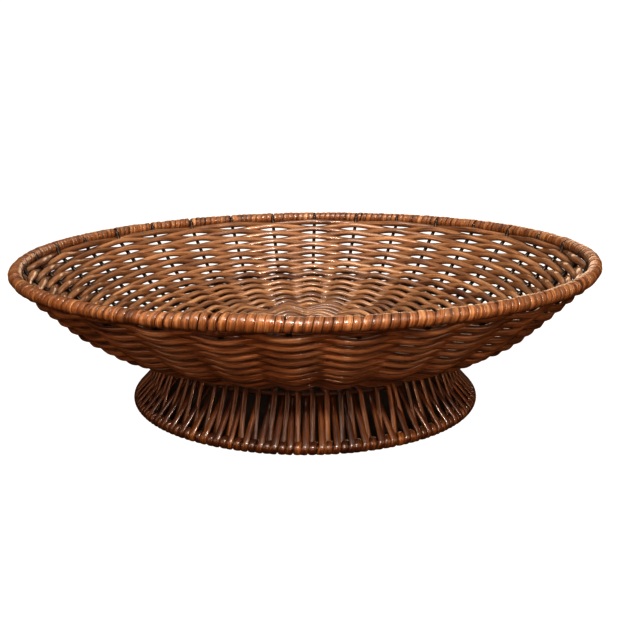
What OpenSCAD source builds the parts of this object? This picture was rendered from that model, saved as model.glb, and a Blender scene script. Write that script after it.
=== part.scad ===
// Footed wicker bowl: cane woven around steel wire stakes, a wrapped rim and a laced foot.
// The origin is on the table under the middle of the bowl, +Z is up, and all sizes are in millimetres.

/* [Rim] */
// Diameter over the wrapped rim
rim_d = 320; // [300:1:340]
// Radius of the rod inside the rim
rim_core_r = 2.2; // [2:0.1:2.4]
// Thickness of the cane wrapped around that rod
rim_wrap_t = 1.2; // [1:0.1:1.5]

/* [Wall] */
// Number of wire stakes
stake_count = 32; // [24:4:40]
// Turn of the first stake away from the +X axis, in degrees
stake_phase = 8.72; // [0:0.01:11]
// Radius of the stake wire
wire_r = 1.1; // [0.9:0.1:1.2]
// Radius of the cane woven into the wall
weaver_r = 1.65; // [1.4:0.05:1.65]
// Distance from one woven row of the wall to the next
row_pitch = 6.7; // [6.5:0.05:6.8]
// Slope of the wall just outside the base, in degrees
low_slope = 20; // [18:0.5:22]
// Slope of the wall below the rim, in degrees
wall_slope = 44; // [42:0.5:46]
// Bending radius of the wall between the two slopes
belly_r = 78; // [74:1:82]

/* [Base] */
// Height of the middle of the base
base_h = 33; // [31:0.5:36]
// Radius of the flat part of the base
base_flat_r = 80; // [78:0.5:82]
// Radius of the sticks across the base
stick_r = 1.1; // [0.9:0.05:1.2]
// Radius of the cane woven into the base
base_weaver_r = 1.6; // [1.4:0.1:1.6]
// Distance from one woven row of the base to the next
base_pitch = 6.6; // [6.5:0.05:6.7]

/* [Foot] */
// Diameter over the ring that stands on the table
foot_d = 195.8; // [190:0.2:200]
// Radius of the ring under the base, to the middle of its rod
foot_top_r = 80; // [76:0.5:82]
// Radius of the rods inside both foot rings
foot_rod_r = 1.5; // [1.3:0.1:1.6]
// Thickness of the cane wrapped around the lower foot ring
foot_wrap_t = 1.7; // [1.4:0.1:1.8]
// Number of lacing cycles around the foot
lace_count = 80; // [60:2:84]
// Radius of the lacing cane
lace_r = 1.1; // [0.9:0.1:1.1]

/* [Hidden] */
$fn = 96;

// Play left between pieces that lie against each other
gap = 0.05;
// How much further a stiff cane stays from the stakes in the wall
weave_play = 0.2;
// Size of the ball where two rods of one piece meet, against the rod, and how far they stop short in it
knuckle = 1.03;
joint_trim = 0.1;
// Bend of the wall where the base ends, and bend of a stake just under the rim
knee_r = 30;
stake_top_r = 7;
// Length of the straight, gently rising stretch outside the base
low_run = 14.8;
// Slope of the stake where the top row sits
top_row_slope = 57;
// Distance from the outermost row of the base to the innermost row of the wall
base_row_setback = 9;
// How far in along the base a stake is pushed, and how far out a stick ends
stake_inner_r = base_flat_r - 8;
stick_end_r = base_flat_r + 3.5;
// Reach of a stake's hook around the rim, and the slot in the wrapping that it sits in
hook_turn = 78;
hook_slot = 2 * wire_r + 2 * gap;

rim_r = rim_core_r + gap + rim_wrap_t;
rim_c = rim_d / 2 - rim_r;
hook_r = rim_core_r + gap + wire_r;
weaver_off = wire_r + weaver_r + gap + weave_play;
base_weaver_off = stick_r + base_weaver_r + gap;

// The middle line of the wall, as radius and height, from the base's edge to the rim
knee_end = [base_flat_r + knee_r * sin(low_slope), base_h + knee_r * (1 - cos(low_slope))];
belly_start = knee_end + low_run * [cos(low_slope), sin(low_slope)];
belly_end = belly_start + belly_r * [sin(wall_slope) - sin(low_slope), cos(low_slope) - cos(wall_slope)];
stake_top_c = [rim_c - hook_r - stake_top_r, 0];
top_bend_x = stake_top_c[0] + stake_top_r * sin(wall_slope);
wall_run = (top_bend_x - belly_end[0]) / cos(wall_slope);
wall_end = belly_end + wall_run * [cos(wall_slope), sin(wall_slope)];
rim_z = wall_end[1] + stake_top_r * cos(wall_slope);

// Lengths of the stretches of that line, added up from the middle of the base
s_knee = base_flat_r;
s_low = s_knee + knee_r * low_slope * PI / 180;
s_belly = s_low + low_run;
s_wall = s_belly + belly_r * (wall_slope - low_slope) * PI / 180;
s_top = s_wall + wall_run;

// A point of an arc that starts at p with slope a, after a length t
function arc_point(p, a, r, t) =
    let (b = a + t / r * 180 / PI)
    [p[0] + r * (sin(b) - sin(a)), p[1] + r * (cos(a) - cos(b)), b];
// A point of a straight stretch
function line_point(p, a, t) = [p[0] + t * cos(a), p[1] + t * sin(a), a];
// Radius, height and slope of the middle line at a length s from the middle of the base
function wall_point(s) =
    s < s_knee ? [s, base_h, 0] :
    s < s_low ? arc_point([base_flat_r, base_h], 0, knee_r, s - s_knee) :
    s < s_belly ? line_point(knee_end, low_slope, s - s_low) :
    s < s_wall ? arc_point(belly_start, low_slope, belly_r, s - s_belly) :
    s < s_top ? line_point(belly_end, wall_slope, s - s_wall) :
    arc_point(wall_end, wall_slope, stake_top_r, s - s_top);

top_row_s = s_top + stake_top_r * (top_row_slope - wall_slope) * PI / 180;
wall_rows = 13;
base_rows = 10;
function wall_row_s(n) = top_row_s - (n - 1) * row_pitch;
function base_row_s(n) = wall_row_s(wall_rows) - base_row_setback - (n - 1) * base_pitch;

// Foot rings
foot_ring_r = foot_rod_r + gap + foot_wrap_t;
foot_c = foot_d / 2 - foot_ring_r;
foot_sink = 0.2;
foot_z = foot_ring_r - foot_sink;
top_wrap_t = 1.3;
foot_top_ring_r = foot_rod_r + gap + top_wrap_t;
foot_top_z = base_h - base_weaver_off - base_weaver_r - 2 * gap - foot_top_ring_r;
wrap_runs = 16;
run_gap = 0.4;

// A round hoop of rod lying level
module hoop(r, z, rod_r) {
    rotate_extrude() translate([r, z]) circle(r = rod_r);
}

// A straight round rod from a to b
module rod(a, b, r) {
    v = b - a;
    translate(a)
        rotate([0, acos(v[2] / norm(v)), atan2(v[1], v[0])])
            cylinder(r = r, h = norm(v));
}

// A woven row as two level hoops, one inside the stakes and one outside
module cane_pair(s, off, cane_r) {
    p = wall_point(s);
    side = off * [sin(p[2]), -cos(p[2])];
    hoop(p[0] + side[0], p[1] + side[1], cane_r);
    hoop(p[0] - side[0], p[1] - side[1], cane_r);
}

// A bend of wire standing in the X-Z plane around [cx, cz], from angle a through a turn
module wire_bend(cx, cz, r, a, turn) {
    trim = joint_trim / r * 180 / PI;
    translate([cx, 0, cz])
        rotate([90, 0, 0])
            rotate([0, 0, a + trim])
                rotate_extrude(angle = turn - 2 * trim) translate([r, 0]) circle(r = wire_r);
}

// A straight piece of wire between two points of the X-Z plane
module wire_run(a, b) {
    cut = joint_trim * (b - a) / norm(b - a);
    rod([a[0] + cut[0], 0, a[1] + cut[1]], [b[0] - cut[0], 0, b[1] - cut[1]], wire_r);
}

// The place where two pieces of a wire meet
module wire_joint(p) {
    translate([p[0], 0, p[1]]) sphere(r = wire_r * knuckle);
}

// One stake: flat in the base, up the wall, up the inside of the rim and hooked over it
module stake() {
    base_edge = [base_flat_r, base_h];
    rim_side = [rim_c - hook_r, rim_z];
    wire_run([stake_inner_r, base_h], base_edge);
    wire_bend(base_flat_r, base_h + knee_r, knee_r, -90, low_slope);
    wire_run(knee_end, belly_start);
    wire_bend(belly_start[0] - belly_r * sin(low_slope), belly_start[1] + belly_r * cos(low_slope),
        belly_r, low_slope - 90, wall_slope - low_slope);
    wire_run(belly_end, wall_end);
    wire_bend(stake_top_c[0], rim_z, stake_top_r, wall_slope - 90, 90 - wall_slope);
    wire_bend(rim_c, rim_z, hook_r, 180 - hook_turn, hook_turn);
    for (p = [base_edge, knee_end, belly_start, belly_end, wall_end, rim_side]) wire_joint(p);
}

module wall_stakes() {
    color("dimgray")
        for (i = [0 : stake_count - 1])
            rotate([0, 0, stake_phase + i * 360 / stake_count]) stake();
}

module rim_rod() {
    color("peru") hoop(rim_c, rim_z, rim_core_r);
}

// Runs of wrapping around a hoop, with an open slot between one run and the next
module wrap_runs(count, first, r, z, hole_r, outer_r, slot) {
    slot_angle = slot / r * 180 / PI;
    for (i = [0 : count - 1])
        rotate([0, 0, first + i * 360 / count + slot_angle / 2])
            rotate_extrude(angle = 360 / count - slot_angle)
                translate([r, 0]) wrap_section(z, hole_r, outer_r);
}

// Section of a wrapping: a tube, worn flat where it would reach below the table
module wrap_section(z, hole_r, outer_r) {
    difference() {
        translate([0, z]) circle(r = outer_r);
        translate([0, z]) circle(r = hole_r);
        translate([-outer_r, -outer_r]) square([2 * outer_r, outer_r]);
    }
}

module rim_wrap() {
    color("chocolate")
        wrap_runs(stake_count, stake_phase, rim_c, rim_z, rim_core_r + gap, rim_r, hook_slot);
}

module wall_row(n) {
    color(n % 2 == 0 ? "saddlebrown" : "sienna") cane_pair(wall_row_s(n), weaver_off, weaver_r);
}

module base_row(n) {
    color(n % 2 == 0 ? "saddlebrown" : "sienna") cane_pair(base_row_s(n), base_weaver_off, base_weaver_r);
}

// Base sticks lie side by side across the middle and fan out to even spokes
cross_half = 7;
fan_r = 20;
stick_spread = 22.5;

module stick_half(y, a, z) {
    inner = [cross_half, y, z];
    fan = [fan_r * cos(a), fan_r * sin(a), base_h];
    end = [stick_end_r * cos(a), stick_end_r * sin(a), base_h];
    rod([0, y, z], inner, stick_r);
    translate(inner) sphere(r = stick_r * knuckle);
    rod(inner, fan, stick_r);
    translate(fan) sphere(r = stick_r * knuckle);
    rod(fan, end, stick_r);
}

module stick_bundle(layer) {
    z = base_h + layer * (stick_r * knuckle + gap);
    for (i = [-1.5 : 1 : 1.5]) {
        y = i * (2 * stick_r * knuckle + gap);
        stick_half(y, i * stick_spread, z);
        mirror([1, 0, 0]) stick_half(y, i * stick_spread, z);
    }
}

module base_sticks_under() {
    color("sienna") stick_bundle(-1);
}

module base_sticks_over() {
    color("sienna") rotate([0, 0, 90]) stick_bundle(1);
}

module foot_top_rod() {
    color("peru") hoop(foot_top_r, foot_top_z, foot_rod_r);
}

module foot_top_wrap() {
    color("saddlebrown")
        wrap_runs(wrap_runs, 0, foot_top_r, foot_top_z, foot_rod_r + gap, foot_top_ring_r, run_gap);
}

module foot_ring_rod() {
    color("peru") hoop(foot_c, foot_z, foot_rod_r);
}

module foot_ring_wrap() {
    color("saddlebrown")
        wrap_runs(wrap_runs, 0, foot_c, foot_z, foot_rod_r + gap, foot_ring_r, run_gap);
}

// Lacing spans: the figure of eight passes outside one foot ring and inside the other
lace_lean = atan2(foot_c - foot_top_r, foot_top_z - foot_z);
top_clear = foot_top_ring_r + lace_r + gap;
ring_clear = foot_ring_r + lace_r + gap;
// Turn around each ring, from the line between the rings, at which a span leaves it
lace_leave = 38;

module lace_span(out_top) {
    a = lace_leave * out_top;
    top = [foot_top_r + top_clear * sin(lace_lean + a), 0, foot_top_z - top_clear * cos(lace_lean + a)];
    low = [foot_c - ring_clear * sin(lace_lean + a), 0, foot_z + ring_clear * cos(lace_lean + a)];
    rod(low, top, lace_r);
}

module lacing(out_top, shift) {
    for (i = [0 : lace_count - 1])
        rotate([0, 0, (i + shift) * 360 / lace_count]) lace_span(out_top);
}

module foot_lacing_down() {
    color("saddlebrown") lacing(1, 0.25);
}

module foot_lacing_up() {
    color("brown") lacing(-1, 0.75);
}

rim_rod();
rim_wrap();
wall_stakes();
wall_row(1);  // wall_row_01
wall_row(2);  // wall_row_02
wall_row(3);  // wall_row_03
wall_row(4);  // wall_row_04
wall_row(5);  // wall_row_05
wall_row(6);  // wall_row_06
wall_row(7);  // wall_row_07
wall_row(8);  // wall_row_08
wall_row(9);  // wall_row_09
wall_row(10);  // wall_row_10
wall_row(11);  // wall_row_11
wall_row(12);  // wall_row_12
wall_row(13);  // wall_row_13
base_row(1);  // base_row_01
base_row(2);  // base_row_02
base_row(3);  // base_row_03
base_row(4);  // base_row_04
base_row(5);  // base_row_05
base_row(6);  // base_row_06
base_row(7);  // base_row_07
base_row(8);  // base_row_08
base_row(9);  // base_row_09
base_row(10);  // base_row_10
base_sticks_under();
base_sticks_over();
foot_top_rod();
foot_top_wrap();
foot_lacing_down();
foot_lacing_up();
foot_ring_rod();
foot_ring_wrap();
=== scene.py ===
"""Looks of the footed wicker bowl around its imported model: woven cane, wrapped rim and laced foot."""
import math

import bpy
import numpy as np
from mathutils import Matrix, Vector


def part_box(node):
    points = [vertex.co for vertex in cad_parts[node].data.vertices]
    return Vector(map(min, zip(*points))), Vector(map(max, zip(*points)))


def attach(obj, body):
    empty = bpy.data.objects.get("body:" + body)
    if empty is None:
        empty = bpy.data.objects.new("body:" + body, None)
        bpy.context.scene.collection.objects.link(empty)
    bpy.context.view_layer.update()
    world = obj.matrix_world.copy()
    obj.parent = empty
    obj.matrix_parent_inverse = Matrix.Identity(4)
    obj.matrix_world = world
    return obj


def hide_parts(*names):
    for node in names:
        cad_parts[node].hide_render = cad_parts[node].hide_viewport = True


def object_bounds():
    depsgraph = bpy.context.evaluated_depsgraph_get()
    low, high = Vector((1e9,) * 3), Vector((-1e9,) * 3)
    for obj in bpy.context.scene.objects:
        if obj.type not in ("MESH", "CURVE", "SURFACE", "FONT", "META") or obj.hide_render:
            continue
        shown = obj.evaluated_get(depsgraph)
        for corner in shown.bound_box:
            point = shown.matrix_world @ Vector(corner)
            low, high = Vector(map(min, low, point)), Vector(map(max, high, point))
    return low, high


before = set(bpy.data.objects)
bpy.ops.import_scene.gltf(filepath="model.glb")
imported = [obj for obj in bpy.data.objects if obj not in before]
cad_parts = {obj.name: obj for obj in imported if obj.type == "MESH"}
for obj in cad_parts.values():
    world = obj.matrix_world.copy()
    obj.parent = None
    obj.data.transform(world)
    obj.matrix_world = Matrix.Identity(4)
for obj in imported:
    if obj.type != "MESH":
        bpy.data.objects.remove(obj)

MM = 0.001
TAU = 2 * math.pi
UP = np.array([0.0, 0.0, 1.0])
SEED = 11
draw = np.random.default_rng(SEED)
cad_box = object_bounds()


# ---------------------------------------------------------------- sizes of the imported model

WALL_CANE = 1.65 * MM                       # radius of the cane in the wall
WALL_SHIFT = 3.0 * MM                       # how far a row's hoops stand off the stakes' line
BASE_CANE = 1.6 * MM
BASE_SHIFT = 2.75 * MM
WIRE = 1.1 * MM                             # radius of the stake wire
STAKES = 32
STAKE_PHASE = math.radians(8.72)
STEP = TAU / STAKES
SPOKES = 16
SPOKE_STEP = TAU / SPOKES
SPOKE_PHASE = SPOKE_STEP / 2
WALL_ROWS = [f"wall_row_{n:02d}" for n in range(1, 14)]
BASE_ROWS = [f"base_row_{n:02d}" for n in range(1, 11)]


def reach(node):
    """Largest distance of a round node from the bowl's axis."""
    lo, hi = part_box(node)
    return max(hi[0], hi[1], -lo[0], -lo[1])


def hoop_of(node):
    """Middle radius, height and tube radius of a node that is a level hoop."""
    lo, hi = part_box(node)
    tube = (hi[2] - lo[2]) / 2
    return reach(node) - tube, (hi[2] + lo[2]) / 2, tube


def row_line(node, cane, shift):
    """Radius and height of the stakes' line where a row of two hoops crosses it."""
    lo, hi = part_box(node)
    rise = min(1.0, ((hi[2] - lo[2]) / 2 - cane) / shift)
    return reach(node) - cane - shift * math.sqrt(1 - rise * rise), (hi[2] + lo[2]) / 2


RIM_R, RIM_Z, RIM_TUBE = hoop_of("rim_wrap")
ROD_R, ROD_Z, ROD_TUBE = hoop_of("rim_rod")
RING_R, RING_Z, RING_ROD = hoop_of("foot_ring_rod")
TOP_R, TOP_Z, TOP_ROD = hoop_of("foot_top_rod")
BASE_Z = row_line(BASE_ROWS[0], BASE_CANE, BASE_SHIFT)[1]
CLEAR = 0.05 * MM                           # left free between a rod and what goes around it
STAKE_IN = ROD_TUBE + WIRE + CLEAR          # from the rim's middle to a hooked stake's middle


class Line:
    """The middle line of base and wall, as radius and height against the length from the axis."""

    def __init__(self, knots):
        self.knots = np.array(knots)
        steps = np.linalg.norm(np.diff(self.knots, axis=0), axis=1)
        self.at_knot = np.concatenate([[0.0], np.cumsum(steps)])
        self.slopes = np.gradient(self.knots, self.at_knot, axis=0)

    def at(self, s):
        """Points on the line and its unit direction there, for an array of lengths."""
        s = np.clip(np.asarray(s, float), 0, self.at_knot[-1])
        i = np.clip(np.searchsorted(self.at_knot, s) - 1, 0, len(self.knots) - 2)
        span = self.at_knot[i + 1] - self.at_knot[i]
        t = ((s - self.at_knot[i]) / span)[..., None]
        p, q = self.knots[i], self.knots[i + 1]
        a, b = self.slopes[i] * span[..., None], self.slopes[i + 1] * span[..., None]
        point = ((2 * t**3 - 3 * t**2 + 1) * p + (t**3 - 2 * t**2 + t) * a
                 + (3 * t**2 - 2 * t**3) * q + (t**3 - t**2) * b)
        way = ((6 * t**2 - 6 * t) * p + (3 * t**2 - 4 * t + 1) * a
               + (6 * t - 6 * t**2) * q + (3 * t**2 - 2 * t) * b)
        return point, way / np.linalg.norm(way, axis=-1, keepdims=True)


def spacing(rows):
    """Mean length along the middle line from one row to the next."""
    return float(np.mean([ROW_S[a] - ROW_S[b] for a, b in zip(rows, rows[1:])]))


rows_in_out = ([row_line(n, BASE_CANE, BASE_SHIFT) for n in reversed(BASE_ROWS)]
               + [row_line(n, WALL_CANE, WALL_SHIFT) for n in reversed(WALL_ROWS)])
wall = Line([(0.0, BASE_Z), (0.5 * rows_in_out[0][0], BASE_Z)] + rows_in_out + [(RIM_R - STAKE_IN, RIM_Z)])
ROW_S = dict(zip(BASE_ROWS[::-1] + WALL_ROWS[::-1], wall.at_knot[2:-1]))
STAKE_END_S = wall.at_knot[-1]


# ---------------------------------------------------------------- the hand-made lean of the bowl

LEAN = math.tan(math.radians(0.8))          # the rim slopes up by this much towards +X


def settle(points):
    """Tilts the bowl a little above its base, as the woven one is."""
    share = np.clip((points[..., 2] - BASE_Z) / (RIM_Z - BASE_Z), 0, 1)
    moved = points.copy()
    moved[..., 2] += LEAN * share * points[..., 0]
    return moved


def smooth_noise(n, waves, size):
    """n values of closed, smooth random drift, made of the first few waves."""
    t = np.arange(n) / n * TAU
    out = np.zeros(n)
    for k in range(1, waves + 1):
        out += draw.normal() / math.sqrt(k) * np.cos(k * t + draw.uniform(0, TAU))
    return out * size / math.sqrt(waves)


# ---------------------------------------------------------------- cane and wire as swept tubes

class Skein:
    """Gathers swept tubes into one mesh, with the grain's coordinates on every point."""

    def __init__(self, name):
        self.name = name
        self.points, self.faces, self.grain, self.tint, self.stain_and_shade = [], [], [], [], []
        self.count = 0

    def sweep(self, path, out, width, height, sides, closed=True, tint=0.5, stain_and_shade=None, section=None):
        """Sweeps an oval, or another section, along path. Its height points to out, its width lies across.

        section gives the height of the points at across and outward, both from -1 to 1, on an oval.
        """
        n = len(path)
        ahead = np.roll(path, -1, 0) - np.roll(path, 1, 0)
        if not closed:
            ahead[0], ahead[-1] = path[1] - path[0], path[-1] - path[-2]
        ahead /= np.linalg.norm(ahead, axis=1, keepdims=True)
        up = out - ahead * np.sum(out * ahead, axis=1, keepdims=True)
        up /= np.linalg.norm(up, axis=1, keepdims=True)
        side = np.cross(ahead, up)
        a = np.arange(sides) / sides * TAU
        ca, sa = np.cos(a), np.sin(a)
        half_w = np.broadcast_to(width, (n,))[:, None, None] / 2
        half_h = np.broadcast_to(height, (n,))[:, None, None] / 2
        rise = sa[None, :, None] if section is None else section(ca, sa)[..., None]
        rings = (path[:, None, :] + side[:, None, :] * ca[None, :, None] * half_w
                 + up[:, None, :] * rise * half_h)
        along = np.concatenate([[0], np.cumsum(np.linalg.norm(np.diff(path, axis=0), axis=1))])
        place = draw.uniform(0, 40)             # where in the endless grain this cane is cut
        grain = np.zeros((n, sides, 3))
        grain[..., 0] = along[:, None] / MM + place * 7
        grain[..., 1] = ca[None, :] + place
        grain[..., 2] = sa[None, :] + place * 3
        index = self.count + np.arange(n * sides).reshape(n, sides)
        rows = np.arange(n if closed else n - 1)
        after = (rows + 1) % n
        beside = np.roll(np.arange(sides), -1)
        quads = np.stack([index[rows], index[rows][:, beside], index[after][:, beside], index[after]], -1)
        self.faces += quads.reshape(-1, 4).tolist()
        if not closed:
            self.faces.append(index[0][::-1].tolist())
            self.faces.append(index[-1].tolist())
        self.points.append(rings.reshape(-1, 3))
        self.grain.append(grain.reshape(-1, 3))
        self.tint.append(np.broadcast_to(np.asarray(tint, float).reshape(-1, 1), (n, sides)).ravel())
        stain_and_shade = np.zeros((n, sides)) if stain_and_shade is None else np.broadcast_to(stain_and_shade, (n, sides))
        self.stain_and_shade.append(stain_and_shade.ravel())
        self.count += n * sides

    def build(self, material, slot, *nodes, lean=True):
        """Makes the mesh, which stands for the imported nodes, and rides it on the bowl."""
        points = np.concatenate(self.points)
        if lean:
            points = settle(points)
        mesh = bpy.data.meshes.new(self.name)
        mesh.from_pydata(points.tolist(), [], self.faces)
        mesh.polygons.foreach_set("use_smooth", [True] * len(mesh.polygons))
        for name, kind, field, data in (("grain", "FLOAT_VECTOR", "vector", self.grain),
                                        ("tint", "FLOAT", "value", self.tint),
                                        ("stain_and_shade", "FLOAT", "value", self.stain_and_shade)):
            mesh.attributes.new(name, kind, "POINT").data.foreach_set(
                field, np.concatenate(data).astype(np.float32).ravel())
        mesh.materials.append(material)
        mesh.update()
        piece = bpy.data.objects.new(self.name, mesh)
        bpy.context.scene.collection.objects.link(piece)
        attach(piece, "root")
        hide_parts(*nodes)


def outward_at(angle):
    """Level unit vectors away from the bowl's axis, at angles around it."""
    return np.stack([np.cos(angle), np.sin(angle), np.zeros_like(angle)], -1)


def sideways_at(angle):
    """Level unit vectors around the bowl's axis, at angles around it."""
    return np.stack([-np.sin(angle), np.cos(angle), np.zeros_like(angle)], -1)


def turned(r, z, angle):
    """Points at radius r and height z, at angles around the axis."""
    return np.stack([r * np.cos(angle), r * np.sin(angle), np.broadcast_to(z, np.shape(angle))], -1)


# ---------------------------------------------------------------- materials

class Nodes:
    """Short ways to add and join shader nodes."""

    def __init__(self, name):
        self.material = bpy.data.materials.new(name)
        self.material.use_nodes = True
        self.tree = self.material.node_tree
        self.shader = self.tree.nodes["Principled BSDF"]

    def put(self, target, value):
        if isinstance(value, bpy.types.NodeSocket):
            self.tree.links.new(value, target)
        else:
            target.default_value = value

    def attribute(self, name):
        node = self.tree.nodes.new("ShaderNodeAttribute")
        node.attribute_name = name
        return node

    def math(self, operation, *values, clamp=False):
        node = self.tree.nodes.new("ShaderNodeMath")
        node.operation, node.use_clamp = operation, clamp
        for socket, value in zip(node.inputs, values):
            self.put(socket, value)
        return node.outputs[0]

    def stretch(self, vector, scale):
        node = self.tree.nodes.new("ShaderNodeVectorMath")
        node.operation = "MULTIPLY"
        self.put(node.inputs[0], vector)
        node.inputs[1].default_value = scale
        return node.outputs[0]

    def noise(self, vector, scale, detail=3.0, rough=0.55):
        node = self.tree.nodes.new("ShaderNodeTexNoise")
        self.put(node.inputs["Vector"], self.stretch(vector, scale))
        node.inputs["Scale"].default_value = 1.0
        node.inputs["Detail"].default_value = detail
        node.inputs["Roughness"].default_value = rough
        return node.outputs["Fac"]

    def remap(self, value, low, high, to_low=0.0, to_high=1.0):
        node = self.tree.nodes.new("ShaderNodeMapRange")
        self.put(node.inputs["Value"], value)
        node.inputs["From Min"].default_value = low
        node.inputs["From Max"].default_value = high
        node.inputs["To Min"].default_value = to_low
        node.inputs["To Max"].default_value = to_high
        return node.outputs["Result"]

    def ramp(self, value, stops):
        node = self.tree.nodes.new("ShaderNodeValToRGB")
        self.put(node.inputs[0], value)
        ramp = node.color_ramp
        while len(ramp.elements) < len(stops):
            ramp.elements.new(0.5)
        for element, (at, color) in zip(ramp.elements, stops):
            element.position, element.color = at, (*color, 1.0)
        return node.outputs[0]

    def mix(self, share, a, b, blend="MIX"):
        node = self.tree.nodes.new("ShaderNodeMix")
        node.data_type, node.blend_type = "RGBA", blend
        self.put(node.inputs["Factor"], share)
        self.put(node.inputs[6], a)
        self.put(node.inputs[7], b)
        return node.outputs[2]

    def bump(self, height, strength, distance):
        node = self.tree.nodes.new("ShaderNodeBump")
        node.inputs["Strength"].default_value = strength
        node.inputs["Distance"].default_value = distance
        self.put(node.inputs["Height"], height)
        return node.outputs[0]


VARNISH = 0.14                              # the varnish's roughness
BARE_CANE = (0.26, 0.165, 0.085)            # where the stain has worn thin


def stained_cane(name, dark, mid, light, gloss=(0.20, 0.58), coat=0.6, fibre=0.5, fade=0.35):
    """Stained and varnished cane with fibres along it, from the grain and tint attributes, darkened by a
    third attribute that paints shade, and stain, between canes and in furrows.
    """
    n = Nodes(name)
    grain = n.attribute("grain").outputs["Vector"]
    tint = n.attribute("tint").outputs["Fac"]
    stain_and_shade = n.attribute("stain_and_shade").outputs["Fac"]
    streaks = n.noise(grain, (0.06, 2.4, 2.4), 5.0, 0.65)
    blotches = n.noise(grain, (0.045, 0.5, 0.5), 2.0)
    specks = n.noise(grain, (0.5, 5.0, 5.0), 3.0, 0.7)
    tone = n.math("MULTIPLY_ADD", streaks, 0.95, n.math("MULTIPLY", blotches, 0.75))
    tone = n.math("ADD", tone, n.math("MULTIPLY_ADD", tint, 0.5, -0.60))
    # painted shade, with stain gathered there: darker between canes and in the rim's furrows
    tone = n.math("SUBTRACT", tone, n.math("MULTIPLY", stain_and_shade, 0.45), clamp=True)
    color = n.ramp(tone, ((0.18, dark), (0.5, mid), (0.86, light)))
    faded = n.remap(n.noise(grain, (0.03, 0.35, 0.35), 2.0), 0.45, 0.75, 0.0, fade)
    color = n.mix(faded, color, (*BARE_CANE, 1.0))
    pits = n.remap(specks, 0.30, 0.44, 0.5, 1.0)
    color = n.mix(1.0, color, pits, "MULTIPLY")
    n.put(n.shader.inputs["Base Color"], color)
    n.put(n.shader.inputs["Roughness"], n.remap(specks, 0.25, 0.75, *gloss))
    n.shader.inputs["Coat Weight"].default_value = coat
    n.shader.inputs["Coat Roughness"].default_value = VARNISH
    n.shader.inputs["IOR"].default_value = 1.5
    relief = n.math("ADD", streaks, n.math("MULTIPLY", specks, 0.4))
    n.put(n.shader.inputs["Normal"], n.bump(relief, fibre, 0.3 * MM))
    return n.material


def cane_core(name, tone=1.0):
    """Stained round rod, for the sticks and hoops. A lower tone is darker."""
    n = Nodes(name)
    place = n.tree.nodes.new("ShaderNodeTexCoord").outputs["Object"]
    streaks = n.noise(place, (900.0, 900.0, 220.0), 4.0, 0.6)
    stops = ((0.0, (0.05, 0.018, 0.008)), (0.5, (0.13, 0.05, 0.022)), (1.0, (0.24, 0.10, 0.045)))
    color = n.ramp(n.remap(streaks, 0.3, 0.7), [(at, [tone * c for c in rgb]) for at, rgb in stops])
    n.put(n.shader.inputs["Base Color"], color)
    n.put(n.shader.inputs["Roughness"], n.remap(streaks, 0.3, 0.7, 0.4, 0.6))
    n.put(n.shader.inputs["Normal"], n.bump(streaks, 0.4, 0.2 * MM))
    return n.material


def drawn_wire(name):
    """Dark drawn steel wire with a dull glint."""
    n = Nodes(name)
    grain = n.attribute("grain").outputs["Vector"]
    scratches = n.noise(grain, (0.35, 4.0, 4.0), 4.0, 0.65)
    stops = ((0.0, (0.020, 0.017, 0.015)), (1.0, (0.10, 0.085, 0.075)))
    color = n.ramp(n.remap(scratches, 0.3, 0.7), stops)
    n.put(n.shader.inputs["Base Color"], color)
    n.shader.inputs["Metallic"].default_value = 0.85
    n.put(n.shader.inputs["Roughness"], n.remap(scratches, 0.25, 0.75, 0.32, 0.55))
    n.put(n.shader.inputs["Normal"], n.bump(scratches, 0.3, 0.1 * MM))
    return n.material


RIM_CANE = stained_cane("rim cane", (0.040, 0.010, 0.002), (0.215, 0.086, 0.025), (0.56, 0.35, 0.160),
                        fibre=0.9)
WALL_LOOK = stained_cane("wall cane", (0.045, 0.012, 0.003), (0.205, 0.100, 0.041), (0.48, 0.285, 0.147))
FOOT_LOOK = stained_cane("foot cane", (0.010, 0.001, 0.001), (0.060, 0.016, 0.001), (0.22, 0.088, 0.014),
                         gloss=(0.30, 0.5), coat=0.6, fade=0.05)
CORE_LOOK = cane_core("rod")
DARK_ROD_LOOK = cane_core("dark rod", 0.25)
WIRE_LOOK = drawn_wire("stake wire")


# ---------------------------------------------------------------- the wall and base

SQUEEZE = 1.14                              # canes are pressed into each other by this much
STIFFNESS = 1.55                            # above 1, canes lie together for longer between stakes
FLATTEN = 0.12                              # how much wider a cane is where it bends around a stake
OVAL = 0.95                                 # a cane's height over its width
THINNER = 1.1                               # how much of OVAL goes for each part that the cane is wider
STRAY = 0.17 * MM                           # how far a cane strays along the wall
UNEVEN_SWING = 0.04
UNEVEN_THICK = 0.03
CANE_TONES = 0.18                           # how much the canes differ in tone
PATCH_TONES = 0.20                          # how much the stretches of one cane differ
CANE_EDGES = 0.4                            # how dark a cane is at its edges, between two canes: painted shade, and stain gathered there
CANE_SIDES = 8
WALL_SAMPLES = 10                           # points on a cane from one stake to the next
BASE_SAMPLES = 16                           # and from one spoke to the next
WALL_SWING = 2.4 * MM                       # how far a flattened cane stands off where it passes a stake
RIM_GAP = 0.55 * MM                         # the top canes are pushed up towards the rim by this much
RIM_GAP_ROWS = 2
DIP = 2.0 * MM                              # the base's outer canes lean inwards at every second stake
DIP_ROWS = 3


def edge_stain_and_shade(sides, strength):
    """Darker edges between one cane and the next: painted shade, and stain gathered there."""
    across = np.abs(np.cos(np.arange(sides) / sides * TAU))
    return strength * np.clip((across - 0.6) / 0.4, 0, 1)[None, :]


def wave_of(angle, phase, step):
    """+1 and -1 by turns at the stakes that stand at phase + i * step."""
    return np.cos(math.pi * (angle - phase) / step)


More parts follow.
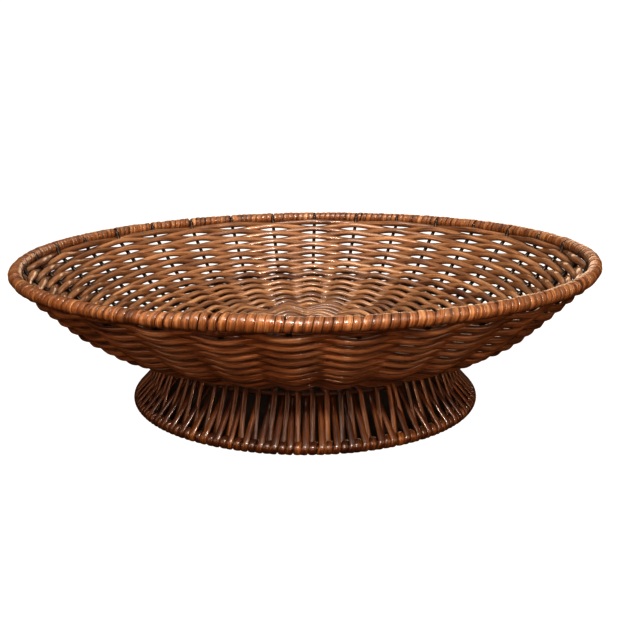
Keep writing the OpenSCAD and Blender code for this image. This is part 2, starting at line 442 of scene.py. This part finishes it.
def weave(node, canes, cane_r, shift, phase, step, drift, dip=0.0):
    """Weaves a node's canes, given as number and length along the middle line, around the stakes."""
    skein = Skein(node.replace("row", "canes"))
    n = len(drift)
    angle = np.arange(n) / n * TAU
    wave = wave_of(angle, phase, step)
    wave = np.sign(wave) * np.abs(wave) ** STIFFNESS
    for k, s in canes:
        wander = drift + smooth_noise(n, 40, STRAY) + dip * wave_of(angle, STAKE_PHASE, STEP)
        point, way = wall.at(s + wander)
        out = np.stack([way[:, 1], -way[:, 0]], -1)
        swing = shift * (wave if k % 2 == 0 else -wave)
        swing = swing * (1 + smooth_noise(n, 30, UNEVEN_SWING))
        r = point[:, 0] + out[:, 0] * swing
        z = point[:, 1] + out[:, 1] * swing
        face = outward_at(angle) * out[:, :1]
        face[:, 2] = out[:, 1]
        thick = 2 * cane_r * (SQUEEZE + smooth_noise(n, 24, UNEVEN_THICK))
        flat = FLATTEN * wave * wave
        tone = 0.5 + CANE_TONES * draw.normal() + smooth_noise(n, 48, PATCH_TONES)
        # the last argument darkens each cane's edges: painted shade, and stain gathered there
        skein.sweep(turned(r, z, angle), face, thick * (1 + flat), thick * (OVAL - THINNER * flat),
                    CANE_SIDES, True, tone, edge_stain_and_shade(CANE_SIDES, CANE_EDGES))
    skein.build(WALL_LOOK, "wall_cane", node)


def weave_at_stakes(node, canes, cane_r, dip=0.0):
    """Weaves a node's canes around the wire stakes."""
    weave(node, canes, cane_r, WALL_SWING, STAKE_PHASE, STEP, stake_drift, dip)


def weave_at_spokes(node, canes, dip):
    """Weaves a node's canes around the base's spokes."""
    weave(node, canes, BASE_CANE, BASE_SHIFT, SPOKE_PHASE, SPOKE_STEP, spoke_drift, dip)


stake_drift = smooth_noise(STAKES * WALL_SAMPLES, 14, 0.22 * MM)    # all rows at the stakes share this
half_pitch = spacing(WALL_ROWS) / 2
for n, node in enumerate(WALL_ROWS):
    gap = RIM_GAP * max(0.0, 1 - n / RIM_GAP_ROWS)
    upper = (2 * n, ROW_S[node] + gap)
    lower = (2 * n + 1, ROW_S[node] - half_pitch + 0.75 * gap)
    weave_at_stakes(node, [upper, lower], WALL_CANE)

spoke_drift = smooth_noise(SPOKES * BASE_SAMPLES, 10, 0.15 * MM)    # and all rows at the spokes this
half_pitch = spacing(BASE_ROWS) / 2
for n, node in enumerate(BASE_ROWS):
    canes = [(2 * n, ROW_S[node]), (2 * n + 1, ROW_S[node] - half_pitch)]
    dip = DIP * max(0.0, 1 - n / DIP_ROWS)
    if n == 0:                              # the stakes' inner ends reach under the outermost row
        weave_at_stakes(node, canes, BASE_CANE, dip)
    else:
        weave_at_spokes(node, canes, dip)

for node, look in (("base_sticks_under", CORE_LOOK), ("base_sticks_over", CORE_LOOK),
                   ("foot_top_rod", DARK_ROD_LOOK), ("foot_ring_rod", DARK_ROD_LOOK)):
    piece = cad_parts[node]
    piece.data.materials.clear()
    piece.data.materials.append(look)


# ---------------------------------------------------------------- wire stakes, hooked over the rim

STAKE_TAIL = 8.5 * MM                       # how far the stakes reach under the base
HOOK_END = math.radians(150)                # where a hook ends, around the rim's section
HOOK_TIP = ROD_TUBE - 0.5 * MM              # how far from the rim's middle the hook's tip is tucked
STAKE_POINTS = 60
HOOK_POINTS = 9
WIRE_SIDES = 8

wires = Skein("stake_wires")
point, _ = wall.at(np.linspace(ROW_S[BASE_ROWS[0]] - STAKE_TAIL, STAKE_END_S, STAKE_POINTS))
hook = np.linspace(math.pi, HOOK_END, HOOK_POINTS + 1)[1:]
tuck = STAKE_IN - (STAKE_IN - HOOK_TIP) * np.linspace(0, 1, HOOK_POINTS) ** 2
r = np.concatenate([point[:, 0], RIM_R + tuck * np.cos(hook)])
z = np.concatenate([point[:, 1], RIM_Z + tuck * np.sin(hook)])
for i in range(STAKES):
    angle = np.full(r.shape, STAKE_PHASE + i * STEP)
    wires.sweep(turned(r, z, angle), sideways_at(angle), 2 * WIRE, 2 * WIRE, WIRE_SIDES, False)
wires.build(WIRE_LOOK, "stake_wire", "wall_stakes")


# ---------------------------------------------------------------- rim

ROD_POINTS = 256
ROD_SIDES = 12
TURNS = 8                                   # turns of the wrapping between two stakes
TURN_POINTS = 16
WRAP_SIDES = 18
WRAP_JITTER = 0.12 * MM                     # how far a turn strays from its even place
MEET = math.radians(140)                    # where a hook is, around the rim's section
HOOK_PUSH = 0.9 * WIRE                      # how far a hook pushes the turns beside it
HOOK_REACH = 5 * MM
LAP_AT = math.radians(259)                  # where the end of one wrapping cane is lapped by the next
LAP_REACH = math.radians(8)
LAP_RISE = 1.2 * MM
FURROW_AT = 0.38                            # the furrows' place and width, in half widths of the cane
FURROW_WIDE = 0.13

rod = Skein("rim_core")
around = np.arange(ROD_POINTS) / ROD_POINTS * TAU
rod.sweep(turned(ROD_R, ROD_Z, around), outward_at(around), 2 * ROD_TUBE, 2 * ROD_TUBE, ROD_SIDES)
rod.build(CORE_LOOK, "cane_core", "rim_rod")

wrap_thick = RIM_TUBE - ROD_TUBE - 0.06 * MM
wrap_r = ROD_TUBE + 0.03 * MM + wrap_thick / 2
turns = STAKES * TURNS
per_turn = TAU * RIM_R / turns


def by_turn(mean, spread):
    """A random value for each turn of the wrapping, run smoothly from one to the next."""
    return np.interp(turn_at, np.arange(turns) + 0.5, draw.normal(mean, spread, turns), period=turns)


def furrow(across):
    """How deep in a furrow a point of the wrapping's section is, from 0 to 1."""
    return np.exp(-((np.abs(across) - FURROW_AT) / FURROW_WIDE) ** 2)


def furrowed(across, outward):
    """The wrapping's section: a flat oval with two shallow furrows along the cane."""
    flat_top = np.sign(outward) * np.abs(outward) ** 0.6
    return flat_top[None, :] * (1 - groove[:, None] * furrow(across)[None, :])


turn_at = np.arange(turns * TURN_POINTS) / TURN_POINTS
azimuth = STAKE_PHASE + (turn_at * per_turn + by_turn(0, WRAP_JITTER)) / RIM_R
minor = MEET + math.pi + turn_at * TAU      # the place around the rim's section
aside = ((turn_at + TURNS / 2) % TURNS - TURNS / 2) * per_turn    # from the nearest stake
near_hook = np.exp(-np.abs(aside) / HOOK_REACH) * np.clip(np.cos(minor - MEET) * 1.5 + 0.3, 0, 1)
azimuth = azimuth + np.sign(aside) * near_hook * HOOK_PUSH / RIM_R
wide = per_turn * by_turn(0.99, 0.08) * (1 - 0.18 * near_hook)
groove = np.clip(by_turn(0.34, 0.14), 0, 0.6)
from_lap = (azimuth - LAP_AT + math.pi) % TAU - math.pi
lap = np.exp(-(from_lap / LAP_REACH) ** 4) * np.clip(np.sin(minor) + 0.2, 0, 1)
puff = by_turn(1.16, 0.10) + 0.4 * lap
face = outward_at(azimuth) * np.cos(minor)[:, None] + UP * np.sin(minor)[:, None]
stand_off = wrap_r + by_turn(0, WRAP_JITTER) + LAP_RISE * lap
path = turned(RIM_R, RIM_Z, azimuth) + face * stand_off[:, None]
across_wrap = np.cos(np.arange(WRAP_SIDES) / WRAP_SIDES * TAU)
# darker at each turn's edges and in its two furrows: painted shade, and stain gathered there
wrap_stain_and_shade = edge_stain_and_shade(WRAP_SIDES, 0.45) + 0.5 * furrow(across_wrap)[None, :]
wrap = Skein("rim_wrapping")
wrap.sweep(path, face, wide, wrap_thick * puff, WRAP_SIDES, True, by_turn(0.5, 0.15), wrap_stain_and_shade, furrowed)
wrap.build(RIM_CANE, "rim_cane", "rim_wrap")


# ---------------------------------------------------------------- foot

LACES = 80                                  # cycles of the lacing around the foot
LACE_WIDE = 2.9 * MM
LACE_THICK = 1.9 * MM
LACE_SIDES = 12
TOP_THICK = 1.3 * MM                        # the lacing's thickness where it is pulled over the top ring
LOW_SPREAD = 0.36                           # how much wider it is pressed around the lower ring
LOWEST = 0.97 * MM                          # its middle's height where it is pressed to the table
TOP_FROM, TOP_TO = 0.10, 0.47               # the shares of a cycle at which the cane is on the top ring,
UNDER_FROM, UNDER_TO = 0.49, 0.51           # under the lower one,
KNOB_TO = 1.06                              # and at the end of its extra turn there

low_r = RING_ROD + CLEAR + LACE_THICK / 2
top_r = TOP_ROD + CLEAR + TOP_THICK / 2
rise_r, rise_z = TOP_R - RING_R, TOP_Z - RING_Z
leave = math.acos((low_r + top_r) / math.hypot(rise_r, rise_z))
line_up = math.atan2(rise_z, rise_r)        # from the lower ring's middle to the top ring's
rise_at = line_up - leave                   # where the rising cane leaves the lower ring, on its outer side
fall_at = line_up + leave                   # where the falling cane meets it, on its inner side


def around_ring(r, z, tube, a, b, share_a, share_b, count, facing):
    """Rows of cycle share, radius, height and the cane's facing, for a turn around a ring."""
    w = np.linspace(a, b, count)
    return np.stack([np.linspace(share_a, share_b, count), r + tube * np.cos(w), z + tube * np.sin(w),
                     facing * np.cos(w), facing * np.sin(w)], -1)


def between(start, end, share_end, count=5):
    """Rows for a straight span from one row to another."""
    w = np.linspace(0, 1, count + 2)[1:-1, None]
    rows = start * (1 - w) + end * w
    rows[:, 0] = (start[0] + w * (share_end - start[0]))[:, 0]
    return rows


def by_lace(mean, spread):
    """A random value for each half cycle of the lacing, run smoothly from one to the next."""
    halves = 2 * LACES
    return np.interp(lace_at * 2, np.arange(halves), draw.normal(mean, spread, halves), period=halves)


def flattened(across, outward):
    """The lacing's section: an oval, flattened where it is pressed around the lower ring."""
    power = 0.7 + 0.3 * np.clip(4 * at_top, 0, 1)
    return np.sign(outward)[None, :] * np.abs(outward)[None, :] ** power[:, None]


over_top = around_ring(TOP_R, TOP_Z, top_r, rise_at + math.pi, fall_at - math.pi, TOP_FROM, TOP_TO, 12, -1)
under = around_ring(RING_R, RING_Z, low_r, fall_at, rise_at + TAU, UNDER_FROM, UNDER_TO, 10, 1)
knob = around_ring(RING_R, RING_Z, low_r, rise_at + TAU, rise_at + 2 * TAU, UNDER_TO, KNOB_TO, 17, 1)
down = between(over_top[-1], under[0], UNDER_FROM)
back_up = between(knob[-1], over_top[0], 1 + TOP_FROM)
cycle = np.concatenate([over_top, down, under, knob[1:], back_up])
lace_at = (np.arange(LACES)[:, None] + cycle[None, :, 0]).ravel()
shape = np.tile(cycle, (LACES, 1))
at_top = np.clip((shape[:, 2] - RING_Z) / (TOP_Z - RING_Z), 0, 1)
uneven = by_lace(0, 0.035) + at_top * by_lace(0, 0.18)
azimuth = (lace_at + uneven) * TAU / LACES
face = outward_at(azimuth) * shape[:, 3:4] + UP * shape[:, 4:5]
path = turned(shape[:, 1], shape[:, 2], azimuth)
path[:, 2] = np.maximum(path[:, 2], LOWEST)
wide = LACE_WIDE * by_lace(1, 0.06) * (1 + LOW_SPREAD * (1 - at_top) ** 3)
lacing = Skein("foot_lacing")
lacing.sweep(path, face, wide, LACE_THICK, LACE_SIDES, True, by_lace(0.5, 0.15), None, flattened)
lacing.build(FOOT_LOOK, "foot_cane", "foot_lacing_down", "foot_lacing_up", "foot_ring_wrap", "foot_top_wrap",
             lean=False)


# ---------------------------------------------------------------- floor and backdrop

WHITE = 0.80                                # emission that shows as white
FLOOR_R = 12                                # metres
scene = bpy.context.scene


def plain(name, color, emission=0.0):
    """Matt paint that may give off white light."""
    n = Nodes(name)
    n.shader.inputs["Base Color"].default_value = (*color, 1)
    n.shader.inputs["Roughness"].default_value = 0.9
    n.shader.inputs["Emission Color"].default_value = (1, 1, 1, 1)
    n.shader.inputs["Emission Strength"].default_value = emission
    return n


bpy.ops.mesh.primitive_circle_add(vertices=96, radius=FLOOR_R, fill_type="NGON", location=(0, 0, 0))
floor = bpy.context.object
floor.name = "floor"
# the floor's own colour is a dark brown, seen only under the foot as painted shadow; elsewhere the floor
# glows white
paint = plain("floor paint", (0.035, 0.020, 0.012))
away = paint.tree.nodes.new("ShaderNodeVectorMath")
away.operation = "LENGTH"
paint.put(away.inputs[0], paint.tree.nodes.new("ShaderNodeTexCoord").outputs["Object"])
floor_glow = paint.remap(away.outputs["Value"], RING_R - 2 * MM, RING_R, 0.0, WHITE)    # painted shadow: the glow stops under the foot, where the dark paint shows
paint.put(paint.shader.inputs["Emission Strength"], floor_glow)
floor.data.materials.append(paint.material)
floor.visible_diffuse = floor.visible_glossy = False

bpy.ops.mesh.primitive_uv_sphere_add(segments=64, ring_count=32, radius=FLOOR_R - 0.1, location=(0, 0, 0))
dome = bpy.context.object
dome.name = "backdrop"
dome.data.materials.append(plain("backdrop", (0, 0, 0), WHITE).material)
for ray in ("diffuse", "glossy", "transmission", "shadow"):
    setattr(dome, f"visible_{ray}", False)


# ---------------------------------------------------------------- light

SKY = ((0.10, (0.022, 0.007, 0.002)),       # below, a dim warm bounce
       (0.45, (0.17, 0.055, 0.020)),
       (0.80, (0.50, 0.47, 0.44)))          # above, a soft box

world = bpy.data.worlds.new("studio")
scene.world = world
world.use_nodes = True
tree = world.node_tree
height = tree.nodes.new("ShaderNodeSeparateXYZ")
tree.links.new(tree.nodes.new("ShaderNodeTexCoord").outputs["Generated"], height.inputs[0])
sky = tree.nodes.new("ShaderNodeValToRGB")
sky.color_ramp.elements.new(0.5)
for element, (at, color) in zip(sky.color_ramp.elements, SKY):
    element.position, element.color = at, (*color, 1)
tree.links.new(height.outputs["Z"], sky.inputs[0])
tree.links.new(sky.outputs[0], tree.nodes["Background"].inputs["Color"])


def lamp(name, azimuth, elevation, distance, size, power, color, kind="AREA"):
    """A round soft lamp, or a sun size radians wide, that shines on the bowl from an azimuth and elevation.

    The azimuth is 0 behind the bowl, at +Y, and 90 at +X.
    """
    data = bpy.data.lights.new(name, kind)
    data.energy, data.color = power, color
    if kind == "SUN":
        data.angle = size
    else:
        data.shape, data.size = "DISK", size
    a, e = math.radians(azimuth), math.radians(elevation)
    away = Vector((math.sin(a) * math.cos(e), math.cos(a) * math.cos(e), math.sin(e)))
    lamp_object = bpy.data.objects.new(name, data)
    lamp_object.location = away * distance
    lamp_object.rotation_euler = (-away).to_track_quat("-Z", "Y").to_euler()
    scene.collection.objects.link(lamp_object)


lamp("key", 198, 52, 2.0, math.radians(35), 2.2, (1.0, 0.97, 0.93), "SUN")
lamp("front fill", 184, 5, 2.0, 0.8, 8, (1.0, 0.32, 0.10))
lamp("front glint", 176, 37, 1.7, 0.20, 20, (1.0, 0.86, 0.74))
lamp("low glint", 172, 15, 1.8, 0.12, 4.5, (1.0, 0.66, 0.44))
lamp("back fill", 10, 8, 2.0, 1.2, 9, (1.0, 0.78, 0.58))
lamp("left fill", 240, 16, 2.0, 1.2, 9, (1.0, 0.58, 0.34))
lamp("right fill", 120, 16, 2.0, 1.2, 10, (1.0, 0.56, 0.32))


# ---------------------------------------------------------------- camera

CAMERA_BACK = 3.2459                        # the camera's place, in radii of the rim
CAMERA_UP = 1.0912
LOOK_DOWN = math.radians(13.508)
LOOK_ASIDE = math.radians(-0.2395)
LENS = 54.47                                # on a sensor 36 mm wide

rim_reach = cad_box[1][0]
camera_data = bpy.data.cameras.new("camera")
camera_data.lens, camera_data.sensor_width = LENS, 36
camera = bpy.data.objects.new("camera", camera_data)
camera.location = (0, -CAMERA_BACK * rim_reach, CAMERA_UP * rim_reach)
camera.rotation_euler = (math.pi / 2 - LOOK_DOWN, 0, LOOK_ASIDE)
scene.collection.objects.link(camera)
scene.camera = camera
scene.view_settings.view_transform = "Standard"
scene.view_settings.exposure = 0.35
scene.view_settings.gamma = 0.8
